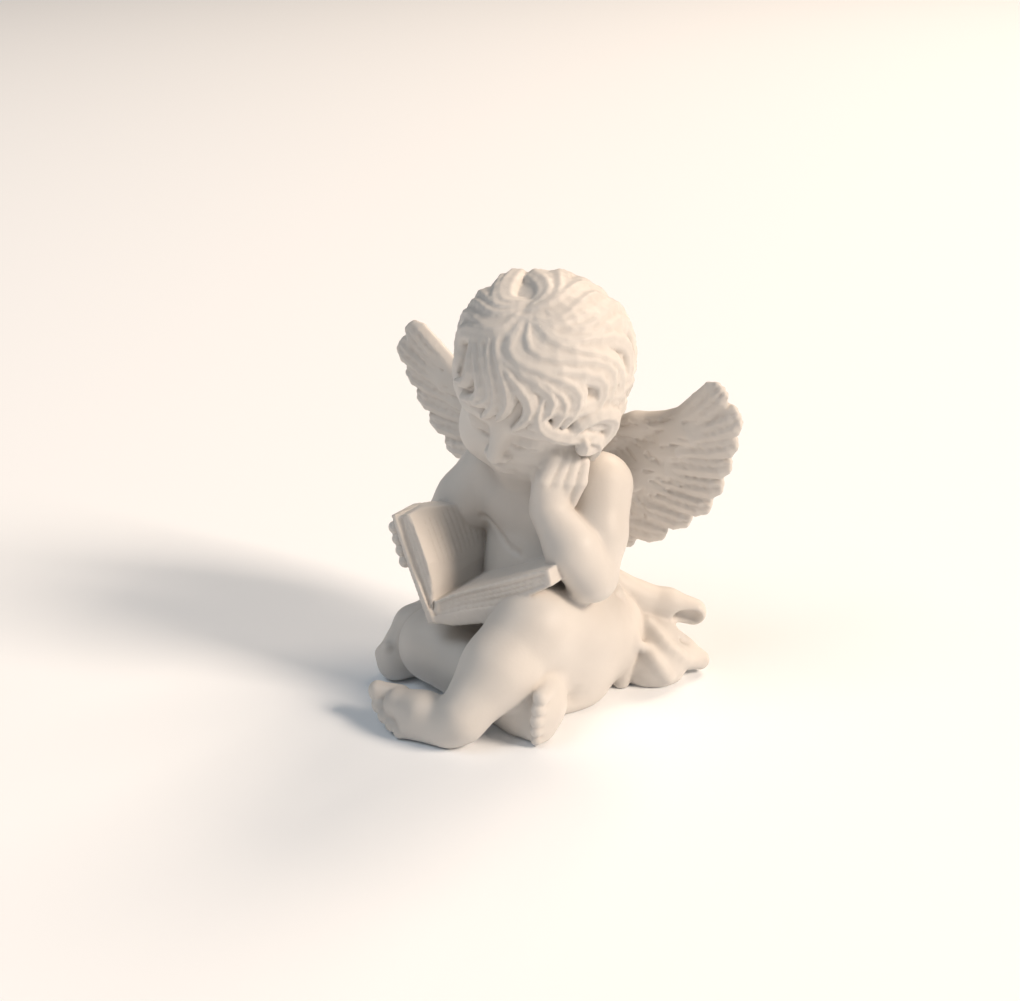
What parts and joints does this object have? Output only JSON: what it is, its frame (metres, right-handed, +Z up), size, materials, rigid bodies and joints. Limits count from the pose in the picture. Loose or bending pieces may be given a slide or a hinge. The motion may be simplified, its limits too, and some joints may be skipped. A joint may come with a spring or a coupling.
{
  "type": "cherub statue",
  "caption": "Seated cast stone cherub with spread wings, resting its cheek on one hand over an open book, with drapery at the hip.",
  "frame": {"origin": "centre of the bounding box on the surface the statue stands on", "axes": "+Z up, the chest faces -Y, +X towards the figure's own left"},
  "size_m": [0.137, 0.1046, 0.1461],
  "materials": {
    "stone": "satin, fine cast surface, not polished"
  },
  "bodies": {
    "root": {"cherub": "stone"}
  },
  "joints": []
}
